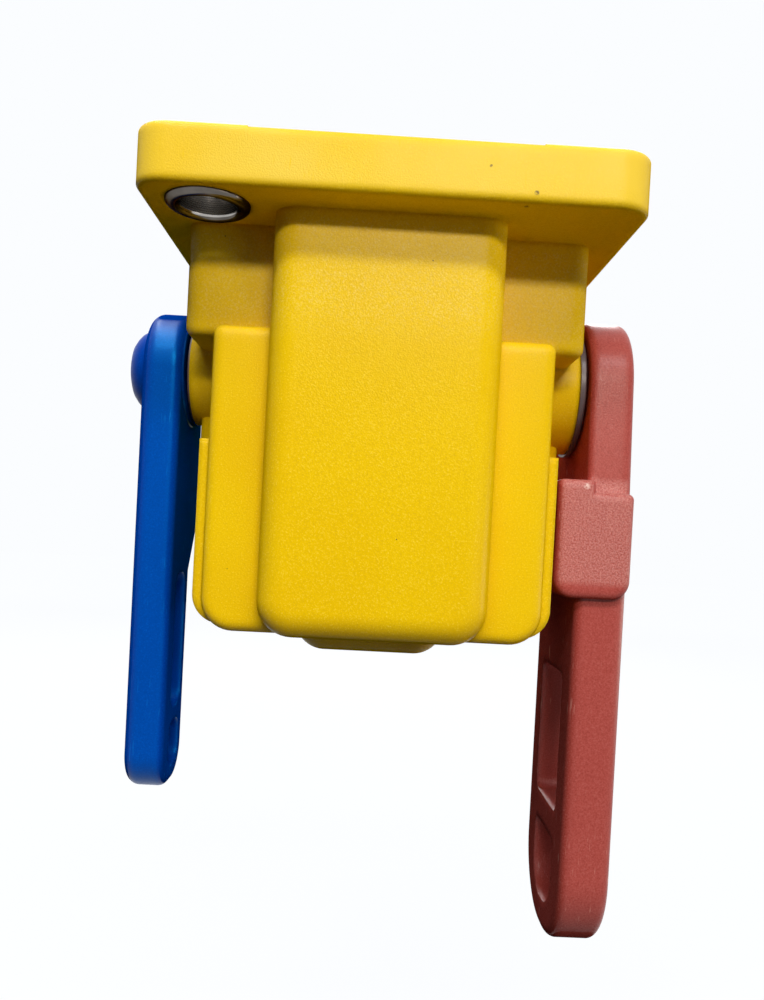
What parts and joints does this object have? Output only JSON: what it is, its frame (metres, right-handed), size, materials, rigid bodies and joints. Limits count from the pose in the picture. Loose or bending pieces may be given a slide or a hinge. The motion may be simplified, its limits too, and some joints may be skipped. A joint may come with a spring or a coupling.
{
  "type": "rope pull switch",
  "caption": "Emergency rope pull switch: moulded housing on a square flange, wide windowed pull lever on one side, narrow reset lever on the other.",
  "frame": {"origin": "centre of the mounting face, between the two fixing holes", "axes": "+Z out of the mounting face, +X along the shafts towards the pull lever, -Y towards the front panel; the levers hang to -Z"},
  "size_m": [0.0952, 0.1067, 0.137],
  "materials": {
    "yellow_moulding": "fine-grained glass-fibre moulding",
    "red_moulding": "fine-grained glass-fibre moulding",
    "blue_moulding": "satin moulding",
    "plain_steel": "turned",
    "zinc_steel": "zinc plated",
    "spring_steel": "drawn wire",
    "bearing_bronze": "sintered",
    "dark_rubber": "moulded",
    "contact_moulding": "moulded",
    "terminal_brass": "nickel free",
    "cam_moulding": "moulded acetal",
    "plated_brass": "nickel plated"
  },
  "bodies": {
    "base": {"mounting_flange": "yellow_moulding", "housing": "yellow_moulding", "entry_inserts": "plated_brass", "mounting_sleeves": "plain_steel", "hood": "yellow_moulding", "hood_gasket": "dark_rubber", "hood_screws": "zinc_steel", "pull_bush": "bearing_bronze", "reset_bush": "bearing_bronze", "pull_seal": "dark_rubber", "reset_seal": "dark_rubber", "mechanism_frame": "zinc_steel", "frame_screws": "zinc_steel", "pull_spring": "spring_steel", "reset_spring": "spring_steel", "pawl_pin": "plain_steel", "pawl_spring": "spring_steel", "contact_carrier": "zinc_steel", "carrier_screws": "zinc_steel", "contact_block_a": "contact_moulding", "contact_block_b": "contact_moulding", "terminal_screws": "terminal_brass"},
    "pull": {"pull_lever": "red_moulding", "pull_shaft": "plain_steel", "pull_washer": "zinc_steel", "pull_screw": "zinc_steel", "pull_circlip": "spring_steel", "switching_cam_a": "cam_moulding", "latch_disc": "plain_steel", "switching_cam_b": "cam_moulding"},
    "reset": {"reset_lever": "blue_moulding", "reset_shaft": "plain_steel", "reset_cap": "blue_moulding", "reset_screw": "zinc_steel", "reset_circlip": "spring_steel", "reset_cam": "plain_steel", "reset_cam_pin": "plain_steel"},
    "contact_plunger_a": {"plunger_a": "cam_moulding"},
    "contact_plunger_b": {"plunger_b": "cam_moulding"},
    "pawl": {"latch_pawl": "plain_steel"}
  },
  "joints": [
    {"name": "pull_hinge", "type": "hinge", "parent": "base", "child": "pull", "pos_m": [0, 0, -0.031], "axis": [1, 0, 0], "range_deg": [-30, 30], "stiffness_Nm_per_rad": 2},
    {"name": "reset_hinge", "type": "hinge", "parent": "base", "child": "reset", "pos_m": [0, 0, -0.031], "axis": [1, 0, 0], "range_deg": [0, 40], "stiffness_Nm_per_rad": 1},
    {"name": "plunger_a_slide", "type": "slide", "parent": "base", "child": "contact_plunger_a", "axis": [0, 1, 0], "range_m": [-0.0021, 0.0021]},
    {"name": "plunger_b_slide", "type": "slide", "parent": "base", "child": "contact_plunger_b", "axis": [0, 1, 0], "range_m": [-0.0021, 0.0021]},
    {"name": "pawl_hinge", "type": "hinge", "parent": "base", "child": "pawl", "pos_m": [0, 0.012, -0.046], "axis": [1, 0, 0], "range_deg": [0, 16.5]}
  ],
  "couplings": [
    {"joint": "plunger_a_slide", "follows": "pull_hinge", "m_per_rad": 0.00382},
    {"joint": "plunger_b_slide", "follows": "pull_hinge", "m_per_rad": -0.00382},
    {"joint": "pawl_hinge", "follows": "reset_hinge", "ratio": 0.4}
  ]
}
